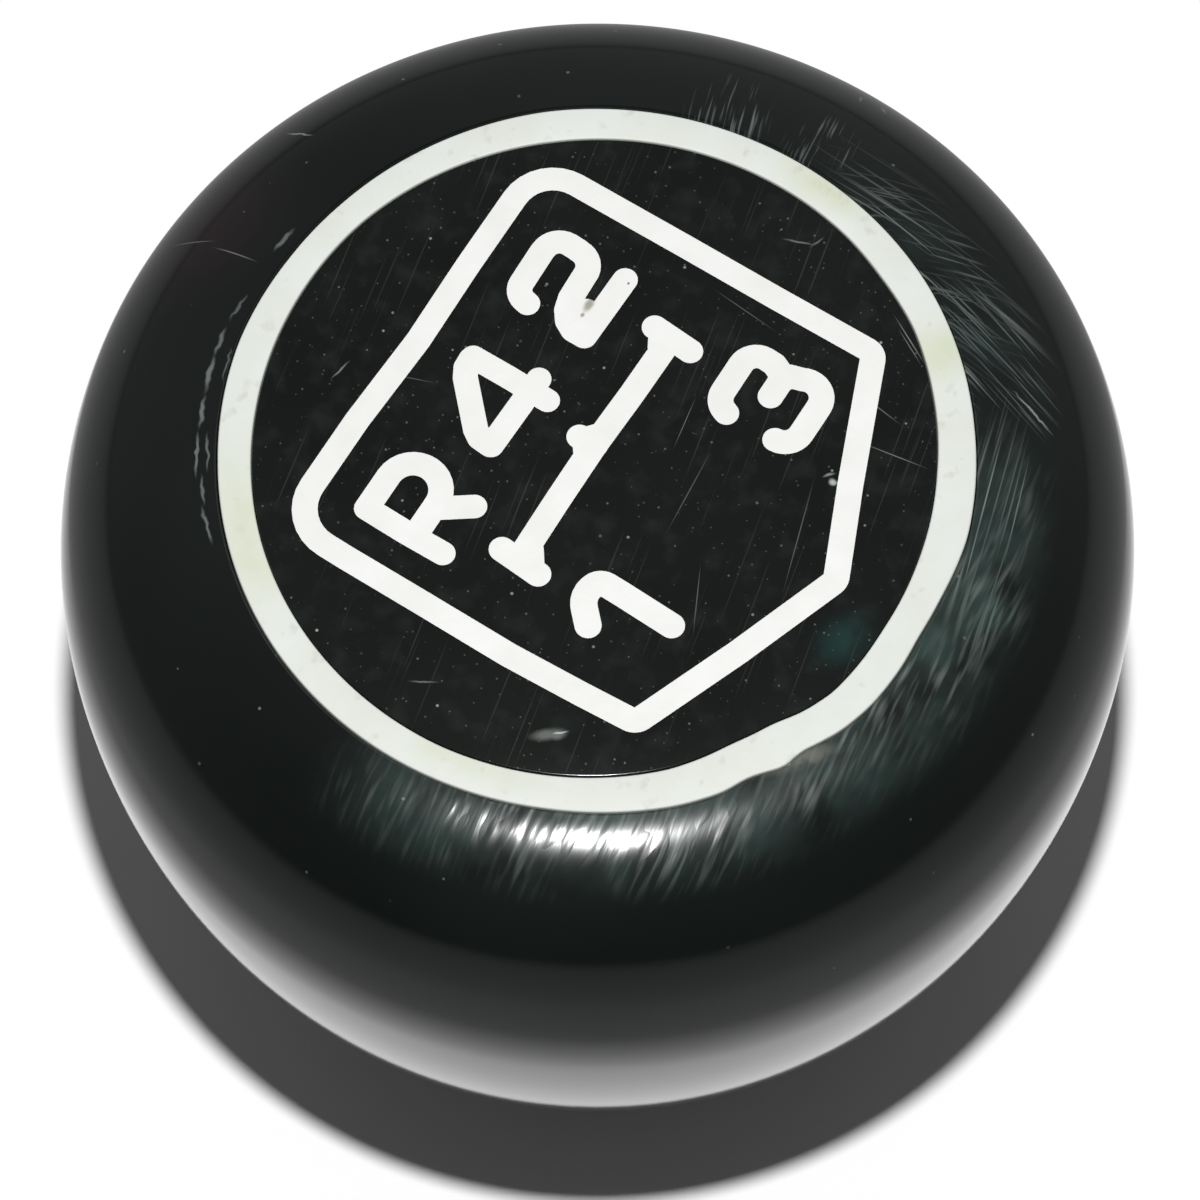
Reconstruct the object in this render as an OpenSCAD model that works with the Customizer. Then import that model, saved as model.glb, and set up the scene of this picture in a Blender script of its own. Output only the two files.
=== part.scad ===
// Gear shift knob: a squashed ball on a tapered flank, with a ring and a pattern disc set into its top.
// The origin is the middle of the foot, +Z is up, and the pattern reads along +X.

/* [Body] */
// Widest diameter of the knob
body_d = 50; // [46:0.5:64]
// Height of the widest place above the foot
waist_z = 37; // [30:0.5:46]
// Diameter of the foot where the flank curve meets the ground
foot_d = 23; // [21:0.5:34]
// Radius that rounds the foot's outer edge
foot_edge_r = 1; // [0.3:0.1:1.6]
// Angle above the widest place at which the shoulder starts
shoulder_a = 14.5; // [6:0.5:24]
// Radius of the shoulder
shoulder_r = 8.25; // [5:0.25:11]

/* [Ring and disc] */
// Outer diameter of the ring
ring_d = 33.7; // [32.6:0.1:36]
// Width of the ring seen from above
ring_w = 1.5; // [0.8:0.1:1.9]
// Thickness of the disc, and depth of its seat below the ring's inner edge
disc_h = 2.1; // [1.4:0.1:5]
// Clearance round the ring in its seat
seat_gap = 0.05; // [0.02:0.01:0.2]
// Clearance round the disc inside the ring
disc_gap = 0.05; // [0.02:0.01:0.2]
// Bevel on the edge of the seat
seat_bevel = 0.2; // [0.05:0.05:0.5]

/* [Pattern] */
// Width of the border line
border_w = 1.15; // [0.7:0.05:1.5]
// Width of the border between its side lines
border_x = 20.8; // [18:0.1:21.6]
// Height of the border's top line above the middle of the disc
border_top = 9.65; // [8:0.05:10.2]
// Depth of the border's lower corners below the middle of the disc
border_low = 8.15; // [6:0.05:9]
// Depth of the border's point below the middle of the disc
border_point = 12.35; // [11:0.05:13.2]
// Radius of the border's two upper corners, on the middle of the line
border_r = 2.05; // [1:0.05:3]
// Radius inside the border's three lower corners
border_inner_r = 0.12; // [0.05:0.01:0.5]
// Depth of the engraved grooves
groove_depth = 0.6; // [0.2:0.05:1.2]
// Distance between the two ends of the gate bar
gate_span = 12.7; // [10:0.1:14]
// Width of the gate bar
gate_w = 1.2; // [0.8:0.05:1.5]
// Shift of the gate bar from the middle of the disc, across and up
gate_at = [-0.13, 0.05];
// Radius of the round lobes that end and divide the gate bar
lobe_r = 0.55; // [0.45:0.05:0.7]
// Reach of the upper lobes above the middle of the bar
lobe_up = 0.87; // [0.6:0.01:1.2]
// Reach of the lower lobes below the middle of the bar
lobe_down = 1.1; // [0.6:0.05:1.3]
// Radius of the webs where the lobes leave the bar
web_r = 0.4; // [0.2:0.05:0.6]

/* [Lever insert] */
// Hexagon of the brass insert, across its flats
insert_af = 14; // [12.5:0.5:15]
// Length of the insert
insert_len = 20; // [19:0.5:30]
// Radius of the turned waist that locks the insert
insert_waist_r = 6.2; // [5.8:0.1:6.2]
// Length of the turned waist
insert_waist_len = 5; // [2:0.5:8]
// Radius inside the crests of the lever thread, which is 10 mm by 1.5 mm
thread_r = 4.19; // [3:0.01:4.6]
// Depth of the full thread from the insert's face
thread_depth = 16; // [12:0.5:17]
// Chamfer at the mouth of the thread
mouth_chamfer = 0.9; // [0.3:0.1:1.2]
// Depth of the insert's face inside the foot
foot_recess = 1; // [0.5:0.1:3]
// Flat margin round the insert's corners, inside the foot
foot_margin = 0.6; // [0.2:0.1:1]

/* [Hidden] */
$fn = 128;
// Steps round a full circle of the flank's long curve, so that its short arc stays smooth
flank_steps = 512;

// Reach of cutting solids past the face that they cut
past = 1;
// Angle of a twist drill's point
drill_point_a = 118;

body_r = body_d / 2;

// The flank is one arc: upright at the widest place, and meeting the ground at the foot's radius
flank_step = body_r - foot_d / 2;
flank_r = (flank_step * flank_step + waist_z * waist_z) / (2 * flank_step);
flank_x = body_r - flank_r;

// The foot's edge is an arc that touches the ground and the flank from inside
edge_drop = waist_z - foot_edge_r;
edge_x = flank_x + sqrt(pow(flank_r - foot_edge_r, 2) - pow(edge_drop, 2));
edge_top_z = waist_z - flank_r * edge_drop / (flank_r - foot_edge_r);

// The shoulder is an arc that touches the ball from inside where it starts
shoulder_z0 = waist_z + body_r * sin(shoulder_a);
shoulder_x = (body_r - shoulder_r) * cos(shoulder_a);
shoulder_z = waist_z + (body_r - shoulder_r) * sin(shoulder_a);

// The top is flat from the axis to the shoulder
top_z = shoulder_z + shoulder_r;

ring_r = ring_d / 2;
seat_r = ring_r + seat_gap;
ring_in_r = ring_r - ring_w;
disc_r = ring_in_r - disc_gap;
// The disc's face is level with the ring's inner edge, and both stand on the floor of one seat
face_z = top_at(ring_in_r);
seat_z = face_z - disc_h;

insert_corner_r = insert_af / 2 / cos(30);
recess_r = insert_corner_r + foot_margin;
drill_point = thread_r / tan(drill_point_a / 2);

border_path = [
    [border_x / 2, border_top],
    [-border_x / 2, border_top],
    [-border_x / 2, -border_low],
    [0, -border_point],
    [border_x / 2, -border_low]
];
border_low_r = border_w / 2 + border_inner_r;
border_radii = [border_r, border_r, border_low_r, border_low_r, border_low_r];

// Height of the outside at a distance from the axis, over the flat top and the shoulder
function top_at(x) = shoulder_z + sqrt(shoulder_r * shoulder_r - pow(max(x - shoulder_x, 0), 2));

function unit(v) = v / norm(v);

// Half of the knob's outline, from the axis outwards
module outline() {
    wide = body_r + past;
    // Foot and its rounded edge
    square([edge_x, edge_top_z]);
    intersection() {
        translate([edge_x, foot_edge_r])
            circle(foot_edge_r);
        translate([edge_x, 0])
            square([foot_edge_r + past, edge_top_z]);
    }
    // Flank
    intersection() {
        translate([flank_x, waist_z])
            circle(flank_r, $fn = flank_steps);
        translate([0, edge_top_z])
            square([wide, waist_z - edge_top_z]);
    }
    // Ball above the widest place
    intersection() {
        translate([0, waist_z])
            circle(body_r);
        translate([0, waist_z])
            square([wide, shoulder_z0 - waist_z]);
    }
    // Shoulder
    intersection() {
        translate([shoulder_x, shoulder_z])
            circle(shoulder_r);
        translate([shoulder_x, shoulder_z0])
            square([wide, top_z - shoulder_z0]);
    }
    // Flat top
    translate([0, shoulder_z0])
        square([shoulder_x, top_z - shoulder_z0]);
}

// Direction out of a counter-clockwise path, square to its side from a to b
function outwards(a, b) = unit([b[1] - a[1], a[0] - b[0]]);

// Angle by which a path turns at point p, on its way from a to b
function turn(a, p, b) = acos(unit(p - a) * unit(b - p));

// Centre of the arc of radius r that rounds the corner at point p
function bend_centre(a, p, b, r) = p + unit(unit(a - p) + unit(b - p)) * r / cos(turn(a, p, b) / 2);

// A filled counter-clockwise path with round corners, grown outwards by a distance
module round_plate(path, radii, grow) {
    last = len(path) - 1;
    before = [for (i = [0 : last]) path[i > 0 ? i - 1 : last]];
    after = [for (i = [0 : last]) path[i < last ? i + 1 : 0]];
    centres = [for (i = [0 : last]) bend_centre(before[i], path[i], after[i], radii[i])];
    // Each side runs between the points where it touches the arcs at its ends
    polygon([
        for (i = [0 : last])
            for (side = [outwards(before[i], path[i]), outwards(path[i], after[i])])
                centres[i] + side * (radii[i] + grow)
    ]);
    for (i = [0 : last])
        translate(centres[i])
            circle(radii[i] + grow);
}

// A round lobe that leaves the gate bar upwards, with a web on its right side
module lobe(reach) {
    web_z = gate_w / 2 + web_r;
    // Past the web the lobe's side is straight, otherwise the web touches the lobe's round end
    web_x = reach < web_z ? sqrt(pow(web_r + lobe_r, 2) - pow(web_z - reach, 2)) : web_r + lobe_r;
    translate([-lobe_r, 0])
        square([2 * lobe_r, reach]);
    translate([0, reach])
        circle(lobe_r);
    difference() {
        polygon([[0, 0], [web_x, 0], [web_x, web_z], [0, min(reach, web_z)]]);
        translate([web_x, web_z])
            circle(web_r);
    }
}

// The gate bar: a bar with a lobe up and down at each end, and one lobe up in the middle
module gate_outline() {
    translate(gate_at) {
        square([gate_span, gate_w], center = true);
        for (side = [0, 1])
            mirror([side, 0]) {
                translate([-gate_span / 2, 0]) {
                    lobe(lobe_up);
                    mirror([0, 1])
                        lobe(lobe_down);
                }
                lobe(lobe_up);
            }
    }
}

module border_outline() {
    difference() {
        round_plate(border_path, border_radii, border_w / 2);
        round_plate(border_path, border_radii, -border_w / 2);
    }
}

// A flat outline raised from the floor of its groove, up to the disc's face or further
module from_groove(extra = 0) {
    translate([0, 0, face_z - groove_depth])
        linear_extrude(groove_depth + extra)
            children();
}

// The insert's outside: a hexagonal bar with a round waist turned in it
module insert_blank() {
    end_len = (insert_len - insert_waist_len) / 2;
    translate([0, 0, foot_recess]) {
        cylinder(h = end_len, r = insert_corner_r, $fn = 6);
        translate([0, 0, end_len])
            cylinder(h = insert_waist_len, r = insert_waist_r);
        translate([0, 0, end_len + insert_waist_len])
            cylinder(h = end_len, r = insert_corner_r, $fn = 6);
    }
}

module knob_body() {
    bevel_z = top_at(seat_r) - seat_bevel;
    color([0.07, 0.075, 0.08])
        difference() {
            rotate_extrude()
                outline();
            // Seat of the ring and the disc, with its bevelled edge
            translate([0, 0, seat_z])
                cylinder(h = top_z - seat_z + past, r = seat_r);
            translate([0, 0, bevel_z])
                cylinder(h = past, r1 = seat_r, r2 = seat_r + past);
            // Recess in the foot, and the cavity moulded round the insert
            translate([0, 0, -past])
                cylinder(h = foot_recess + past, r = recess_r);
            insert_blank();
        }
}

module threaded_insert() {
    color([0.80, 0.66, 0.34])
        difference() {
            insert_blank();
            translate([0, 0, foot_recess]) {
                translate([0, 0, -past])
                    cylinder(h = thread_depth + past, r = thread_r);
                translate([0, 0, thread_depth])
                    cylinder(h = drill_point, r1 = thread_r, r2 = 0);
                cylinder(h = mouth_chamfer, r1 = thread_r + mouth_chamfer, r2 = thread_r);
            }
        }
}

module trim_ring() {
    color([0.88, 0.89, 0.85])
        rotate_extrude()
            intersection() {
                outline();
                translate([ring_in_r, seat_z])
                    square([ring_w, top_z - seat_z + past]);
            }
}

module pattern_disc() {
    color([0.10, 0.11, 0.11])
        difference() {
            translate([0, 0, seat_z])
                cylinder(h = disc_h, r = disc_r);
            from_groove(past)
                border_outline();
            from_groove(past)
                gate_outline();
        }
}

module border_inlay() {
    color([0.94, 0.94, 0.93])
        from_groove()
            border_outline();
}

module gate_inlay() {
    color([0.94, 0.94, 0.93])
        from_groove()
            gate_outline();
}

knob_body();
threaded_insert();
trim_ring();
pattern_disc();
border_inlay();
gate_inlay();
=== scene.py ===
# %% [markdown]
# # A worn gear shift knob
# The real knob is a ball of glossy black plastic on a tapered neck. Its flat top holds a pale plastic ring
# and a black disc, in which the shift pattern is engraved and filled with white enamel. A brass insert in
# the foot takes the lever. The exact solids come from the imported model, and this script adds what makes
# them look used: a smoother body, the hand-finished ring, the engraving, the thread, scratches and dust.
# %% Load the model
from math import cos, degrees, pi, radians, sin, sqrt, tan

import bpy
import numpy as np
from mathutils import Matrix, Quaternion, Vector


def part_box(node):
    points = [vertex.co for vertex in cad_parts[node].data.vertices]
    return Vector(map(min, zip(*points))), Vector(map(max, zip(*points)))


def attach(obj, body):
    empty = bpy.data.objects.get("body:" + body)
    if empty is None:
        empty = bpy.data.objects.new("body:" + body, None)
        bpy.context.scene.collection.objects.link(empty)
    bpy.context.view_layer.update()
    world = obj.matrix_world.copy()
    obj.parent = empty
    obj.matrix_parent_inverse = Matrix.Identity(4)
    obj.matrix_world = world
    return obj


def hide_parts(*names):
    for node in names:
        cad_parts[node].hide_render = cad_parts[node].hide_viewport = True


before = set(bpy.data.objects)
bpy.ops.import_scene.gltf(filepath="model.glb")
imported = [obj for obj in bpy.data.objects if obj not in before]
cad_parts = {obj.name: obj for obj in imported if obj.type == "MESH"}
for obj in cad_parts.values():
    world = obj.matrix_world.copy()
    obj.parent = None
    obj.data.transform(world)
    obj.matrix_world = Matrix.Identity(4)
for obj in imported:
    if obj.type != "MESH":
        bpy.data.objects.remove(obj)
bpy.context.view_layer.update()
MM = 0.001


# %% [markdown]
# ## Sizes
# Every new piece has to sit where the solid one sits, so the sizes that both share are read from the
# solids' boxes, in millimetres. Only the sizes that a box can't tell are written down: where the body is
# widest, how its foot is rounded and where its shoulder starts. The shoulder is a hair tighter than the
# solid one, by 0.04 mm at most, which brings the streak of light close to where the real knob has it.
# %% Sizes from the solids
def corners(node):
    """Lowest and highest corner of a solid, in millimetres."""
    low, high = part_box(node)
    return low / MM, high / MM


body_low, body_high = corners("knob_body")
ring_low, ring_high = corners("trim_ring")
disc_low, disc_high = corners("pattern_disc")
insert_low, insert_high = corners("threaded_insert")

FIT_GAP = 0.05
body_r = (body_high.x - body_low.x) / 2
ring_r = (ring_high.x - ring_low.x) / 2
disc_r = (disc_high.x - disc_low.x) / 2
ring_in_r = disc_r + FIT_GAP
top_z = ring_high.z
seat_z = ring_low.z
print("body", round(body_r, 2), "ring", round(ring_in_r, 2), round(ring_r, 2), "top", round(top_z, 2))

# %% Sizes of the body's outline
WAIST_Z = 37.0
FOOT_R = 11.5
FOOT_EDGE_R = 1.0
SHOULDER_START = 15.3
start_sin = sin(radians(SHOULDER_START))
# The shoulder's arc leaves the ball where it starts, and ends level with the flat top
shoulder_r = (top_z - WAIST_Z - body_r * start_sin) / (1 - start_sin)
shoulder_x = (body_r - shoulder_r) * cos(radians(SHOULDER_START))
shoulder_z = top_z - shoulder_r
# The flank's arc is upright at the widest place and meets the ground at the foot's radius
flank_r = ((body_r - FOOT_R) ** 2 + WAIST_Z ** 2) / (2 * (body_r - FOOT_R))
flank_x = body_r - flank_r
edge_x = flank_x + sqrt((flank_r - FOOT_EDGE_R) ** 2 - (WAIST_Z - FOOT_EDGE_R) ** 2)
print("shoulder radius", round(shoulder_r, 2), "flank radius", round(flank_r, 2))
print("foot edge starts", round(edge_x, 2), "mm from the middle")


# %% [markdown]
# ## Turned pieces
# A knob is turned from a profile, so its pieces are made the same way. A pen starts with one point, draws
# lines by extruding it and arcs by spinning it, and the finished half outline is spun once round the axis.
# A spin has as many steps as the eye needs, where the solids' own triangles would show on the gloss.
# %% A pen that draws a half outline
# Points nearer to each other than this are one point
DOUBLES = 0.0005


class Outline:
    """A half outline in the XZ plane, drawn in edit mode from its first point, in millimetres."""

    def __init__(self, name, x, z):
        # A small plane is merged to one point, which is where the pen starts
        bpy.ops.object.select_all(action="DESELECT")
        bpy.ops.mesh.primitive_plane_add(size=MM)
        self.piece = bpy.context.object
        self.piece.name = name
        self.piece.data.name = name
        bpy.ops.object.mode_set(mode="EDIT")
        bpy.ops.mesh.merge(type="CENTER")
        bpy.ops.transform.translate(value=(x * MM, 0, z * MM))
        self.x, self.z = x, z

    def line(self, x, z):
        """Draws straight to a point."""
        step = ((x - self.x) * MM, 0, (z - self.z) * MM)
        bpy.ops.mesh.extrude_region_move(TRANSFORM_OT_translate={"value": step})
        self.x, self.z = x, z

    def arc(self, x, z, angle, steps):
        """Turns counter-clockwise about a centre, by an angle in degrees."""
        bpy.ops.mesh.spin(steps=steps, angle=radians(angle), center=(x * MM, 0, z * MM), axis=(0, 1, 0))
        c, s = cos(radians(angle)), sin(radians(angle))
        dx, dz = self.x - x, self.z - z
        self.x, self.z = x + c * dx - s * dz, z + s * dx + c * dz

    def turn(self, steps):
        """Spins the outline round the Z axis, closes it and leaves edit mode."""
        bpy.ops.mesh.select_all(action="SELECT")
        bpy.ops.mesh.spin(steps=steps, angle=2 * pi, center=(0, 0, 0), axis=(0, 0, 1))
        return finish_mesh(self.piece)


def finish_mesh(piece, sharp=30):
    """Merges doubles, turns the faces outwards, leaves edit mode and shades smooth up to an angle."""
    bpy.ops.mesh.select_all(action="SELECT")
    bpy.ops.mesh.remove_doubles(threshold=DOUBLES * MM)
    bpy.ops.mesh.normals_make_consistent(inside=False)
    bpy.ops.object.mode_set(mode="OBJECT")
    bpy.ops.object.shade_smooth_by_angle(angle=radians(sharp))
    print(piece.name, len(piece.data.vertices), "points", len(piece.data.polygons), "faces")
    return piece


# %% [markdown]
# ## The ring's edges
# On the real knob the ring was fitted and polished by hand, so its edges wander by a few tenths of a
# millimetre, with a kink on one side where the file slipped. A perfect circle would look like a toy, so a
# few radii are set by angle, and a soft curve runs through them. The body's seat follows the outer edge
# and the disc follows the inner one. The angle runs counter-clockwise from the pattern's reading direction.
# %% Radii of the ring's edges by angle
RING_OUTSIDE = [
    (8, 16.90), (40, 16.94), (56, 16.86), (76, 16.79), (88, 16.80), (104, 16.92), (124, 16.87),
    (156, 16.94), (176, 16.94), (204, 16.89), (224, 16.97), (231, 16.90), (235, 16.66), (238, 16.74),
    (241, 16.94), (244, 16.66), (247, 16.78), (251, 16.92), (257, 16.94), (264, 16.80), (270, 16.62),
    (277, 16.65), (288, 16.88), (306, 16.85), (330, 16.95), (348, 16.92),
]
RING_INSIDE = [
    (16, 15.41), (40, 15.38), (56, 15.41), (76, 15.46), (96, 15.38), (114, 15.36), (140, 15.45),
    (186, 15.47), (210, 15.36), (224, 15.28), (230, 15.13), (235, 14.98), (243, 14.97), (248, 15.22),
    (254, 15.36), (260, 15.28), (268, 15.14), (282, 15.10), (298, 15.13), (314, 15.27), (325, 15.41),
    (336, 15.35), (345, 15.42),
]
# The curve is softened by the mean over this many degrees either side, taken at this many places
EDGE_SOFTNESS = 1.5
EDGE_SAMPLES = 7


def edge_radius(points, angles):
    """Radius at each angle in degrees, on a soft curve through the points."""
    places, radii = zip(*points)
    shifts = np.linspace(-EDGE_SOFTNESS, EDGE_SOFTNESS, EDGE_SAMPLES)
    return np.mean([np.interp(angles + shift, places, radii, period=360) for shift in shifts], axis=0)


def reshape(piece, rule):
    """Moves each point outwards or inwards: rule takes angles, radii and heights, and gives the last two."""
    spots = np.array([v.co for v in piece.data.vertices]) / MM
    angles = np.degrees(np.arctan2(spots[:, 1], spots[:, 0]))
    radii, heights = rule(angles, np.hypot(spots[:, 0], spots[:, 1]), spots[:, 2])
    turns = np.radians(angles)
    moved = np.stack([radii * np.cos(turns), radii * np.sin(turns), heights], axis=1)
    piece.data.vertices.foreach_set("co", (moved * MM).ravel())
    piece.data.update()


all_round = np.arange(360.0)
ring_width = edge_radius(RING_OUTSIDE, all_round) - edge_radius(RING_INSIDE, all_round)
print("ring", round(ring_width.min(), 2), "to", round(ring_width.max(), 2), "mm wide")


# %% [markdown]
# ## Body
# The body is one moulding: a flat foot with a shallow recess, a long flank, a ball, a tight shoulder and a
# flat top with a seat cut into it. One profile gives it all. The edge of the seat is broken by a small bevel,
# which the light picks out as a thin line on the real knob.
# %% Body profile
SEAT_BEVEL = 0.12
SEAT_GAP = 0.05
CAVITY_R = 6.0
INSERT_PROUD = 0.04
FOOT_MARGIN = 0.6
FOOT_BEVEL = 0.15
TURN_STEPS = 360


def top_at(radius):
    """Height of the outside over the flat top and the shoulder."""
    return shoulder_z + np.sqrt(shoulder_r ** 2 - np.clip(radius - shoulder_x, 0, shoulder_r) ** 2)


recess_r = (insert_high.x - insert_low.x) / 2 + FOOT_MARGIN
recess_z = insert_low.z + INSERT_PROUD
seat_r = ring_r + SEAT_GAP
rim_r = seat_r + SEAT_BEVEL
flank_angle = degrees(np.arctan2(WAIST_Z - FOOT_EDGE_R, edge_x - flank_x))
rim_angle = degrees(np.arccos((rim_r - shoulder_x) / shoulder_r))

body = Outline("black_body", 0, insert_high.z)
body.line(CAVITY_R, insert_high.z)
body.line(CAVITY_R, recess_z)
body.line(recess_r, recess_z)
body.line(recess_r, FOOT_BEVEL)
body.line(recess_r + FOOT_BEVEL, 0)
body.line(edge_x, 0)
body.arc(edge_x, FOOT_EDGE_R, 90 - flank_angle, steps=8)
body.arc(flank_x, WAIST_Z, flank_angle, steps=64)
body.arc(0, WAIST_Z, SHOULDER_START, steps=16)
body.arc(shoulder_x, shoulder_z, rim_angle - SHOULDER_START, steps=48)
body.line(seat_r, float(top_at(seat_r)) - SEAT_BEVEL)
body.line(seat_r, seat_z)
body.line(0, seat_z)
black_body = body.turn(TURN_STEPS)

# %% Fit the seat to the ring
RIM_REACH = 2.0
# A point counts as lying on a height or a radius when it is off by less than this
ABOUT = 0.001


def follow_ring(angles, radii, heights):
    """The seat's wall follows the ring, and the top beside it gives way over a short reach."""
    shift = edge_radius(RING_OUTSIDE, angles) - ring_r
    on_seat = (heights > seat_z - ABOUT) & (radii < rim_r + ABOUT)
    on_top = (radii >= rim_r + ABOUT) & (heights > shoulder_z) & (radii < rim_r + RIM_REACH)
    moved = radii + shift * np.where(on_seat, np.minimum(radii / seat_r, 1), 0)
    moved = moved + shift * np.where(on_top, (rim_r + RIM_REACH - radii) / RIM_REACH, 0)
    at_edge = on_seat & (radii > rim_r - ABOUT)
    return moved, np.where(on_top | at_edge, top_at(moved), heights)


reshape(black_body, follow_ring)
seat_edge = edge_radius(RING_OUTSIDE, all_round) + SEAT_GAP
print("seat", round(seat_edge.min(), 2), "to", round(seat_edge.max(), 2), "mm from the middle")

# %% [markdown]
# ## Ring
# The ring is a washer of white plastic that has yellowed. It stands on the floor of the seat, flush with the
# top inside and a hair lower outside, and its edges are rounded by use, so they catch no hard line of light.
# %% Ring
RING_ROUND = 0.09
RING_FALL = 0.02
ring = Outline("pale_ring", ring_in_r, seat_z)
ring.line(ring_r, seat_z)
ring.line(ring_r, top_z - RING_ROUND - RING_FALL)
ring.arc(ring_r - RING_ROUND, top_z - RING_ROUND - RING_FALL, 90, steps=5)
ring.line(ring_in_r + RING_ROUND, top_z)
ring.arc(ring_in_r + RING_ROUND, top_z - RING_ROUND, 90, steps=5)
ring.line(ring_in_r, seat_z)
pale_ring = ring.turn(TURN_STEPS)


def between_edges(angles, radii, heights):
    """Each point keeps its share of the way from the inner edge to the outer one."""
    share = (radii - ring_in_r) / (ring_r - ring_in_r)
    inside = edge_radius(RING_INSIDE, angles)
    return inside + share * (edge_radius(RING_OUTSIDE, angles) - inside), heights


reshape(pale_ring, between_edges)

# %% [markdown]
# ## Disc
# The disc is turned like the rest and then engraved. It lies a hair below the ring, so that a fine shadow
# line shows between them, and its rim follows the ring's inner edge.
# %% Disc
DISC_SUNK = 0.03
DISC_ROUND = 0.06
face_z = top_z - DISC_SUNK
disc = Outline("engraved_disc", 0, seat_z)
disc.line(disc_r, seat_z)
disc.line(disc_r, face_z - DISC_ROUND)
disc.arc(disc_r - DISC_ROUND, face_z - DISC_ROUND, 90, steps=4)
disc.line(0, face_z)
engraved_disc = disc.turn(TURN_STEPS)


def follow_inner_edge(angles, radii, heights):
    """The whole disc grows or shrinks by angle, as the ring's inner edge does."""
    return radii * edge_radius(RING_INSIDE, angles) / ring_in_r, heights


reshape(engraved_disc, follow_inner_edge)

# %% [markdown]
# ## Shift pattern
# The marks were cut with a straight cutter of about 1.15 mm, which leaves round ends, round outer corners and
# sharp inner ones. Drawing outlines would lose that, so the script follows the cutter: each move clears the
# hull of the two places it goes between. All the moves of a mark together are cut out of the disc, and the
# same volume, wiped off a hair below the face, is its enamel.
# The paths are in millimetres. The pattern sits a little off the middle of the disc, and a few marks came out
# a few hundredths of a millimetre wider or narrower than the rest.
# %% Cutter paths
CUTTER_R = 0.575
BEND_STEP = 12
PATTERN_SHIFT = (0.17, 0.11)
WIDER = {"mark_1": 0.023, "mark_r": -0.012, "mark_4": -0.012, "gate": 0.012}


def bend(x, y, r, start, end):
    """Points along an arc, from one angle in degrees to another."""
    count = max(2, round(abs(end - start) / BEND_STEP) + 1)
    return [(x + r * cos(radians(a)), y + r * sin(radians(a))) for a in np.linspace(start, end, count)]


MARKS = {
    "border": [
        [(-10.14, -8.03), (-10.28, -5.6), (-10.43, -2.0), (-10.40, 2.6), (-10.39, 6.6),
         *bend(-8.3, 7.62, 2.07, 180, 90), (-4.6, 9.72), (0.1, 9.53), (4.4, 9.64),
         *bend(8.35, 7.62, 2.03, 90, 0), (10.40, 2.0), (10.39, -3.0),
         *bend(9.92, -7.76, 0.5, 0, -68), (4.4, -10.5), *bend(0.14, -11.78, 0.5, -67, -111),
         (-5.0, -10.42), *bend(-9.64, -8.0, 0.5, -111, -177)],
    ],
    "gate": [
        [(-6.45, 0.03), (-3.0, 0.1), (0, 0.12), (3.0, 0.02), (6.2, -0.02)],
        [(-6.4, 0.93), (-6.55, -1.05)],
        [(6.27, 0.88), (6.12, -1.08)],
        [(0, 0.1), (-0.03, 0.9)],
        [(-6.4, -0.6), (-5.75, -0.15)],
        [(6.25, 0.5), (5.6, 0.15)],
        [(-0.45, 0.28), (0, 0.62), (0.4, 0.28)],
    ],
    "mark_r": [
        [(-7.94, 7.02), (-7.98, 5.0), (-7.95, 3.03)],
        [(-7.94, 7.05), *bend(-6.12, 5.8, 1.26, 90, -90), (-7.94, 4.53)],
        [(-6.35, 4.5), (-5.33, 3.05)],
    ],
    "mark_4": [
        [(0.71, 7.0), (0.72, 5.2), (0.69, 3.05)],
        [(0.6, 7.03), (0.12, 7.0), (-0.33, 6.75), (-2.2, 5.0), (-2.45, 4.62), (-2.5, 4.05)],
        [(-2.48, 4.0), (0, 3.95), (1.37, 3.93)],
    ],
    "mark_2": [
        [(4.22, 6.35), *bend(4.98, 6.38, 0.74, 175, 95), (6.75, 7.17), *bend(6.85, 6.32, 0.84, 80, 0),
         (7.67, 5.85), *bend(6.8, 5.75, 0.85, 0, -80), (5.5, 4.85), (4.9, 4.68), (4.45, 4.35),
         (4.2, 3.9), (4.2, 3.32), (7.55, 3.25)],
        [(4.9, 3.9), (5.34, 3.93)],
    ],
    "mark_1": [
        [(-7.42, -4.2), (-6.95, -3.75), *bend(-6.1, -4.35, 1.02, 128, 75), *bend(-5.9, -3.9, 0.53, 60, 0),
         (-5.38, -4.6), (-5.48, -7.3)],
    ],
    "mark_3": [
        [(4.42, -4.03), *bend(5.25, -4.2, 0.84, 165, 90), (6.75, -3.35), *bend(6.8, -4.15, 0.8, 80, 0),
         (7.58, -4.6), (7.35, -5.1), (7.0, -5.28), (6.15, -5.28)],
        [(7.0, -5.28), (7.45, -5.5), *bend(6.85, -6.5, 0.88, 30, -90), *bend(5.33, -6.52, 0.86, -90, -178)],
    ],
}
print(len(MARKS), "marks,", sum(len(passes) for passes in MARKS.values()), "passes of the cutter")

# %% Cutter volumes
GROOVE_DEPTH = 0.6
CUTTER_SIDES = 32


def boolean(piece, cutter, operation):
    """Applies a boolean with the fast solver for closed meshes."""
    bpy.ops.object.select_all(action="DESELECT")
    bpy.context.view_layer.objects.active = piece
    piece.select_set(True)
    modifier = piece.modifiers.new("cut", "BOOLEAN")
    modifier.operation = operation
    modifier.object = cutter
    modifier.solver = "MANIFOLD"
    bpy.ops.object.modifier_apply(modifier="cut")


def cutter_place(point):
    """The middle of the cutter when it stands at a point of its path."""
    return Vector((point[0] + PATTERN_SHIFT[0], point[1] + PATTERN_SHIFT[1], face_z)) * MM


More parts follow.
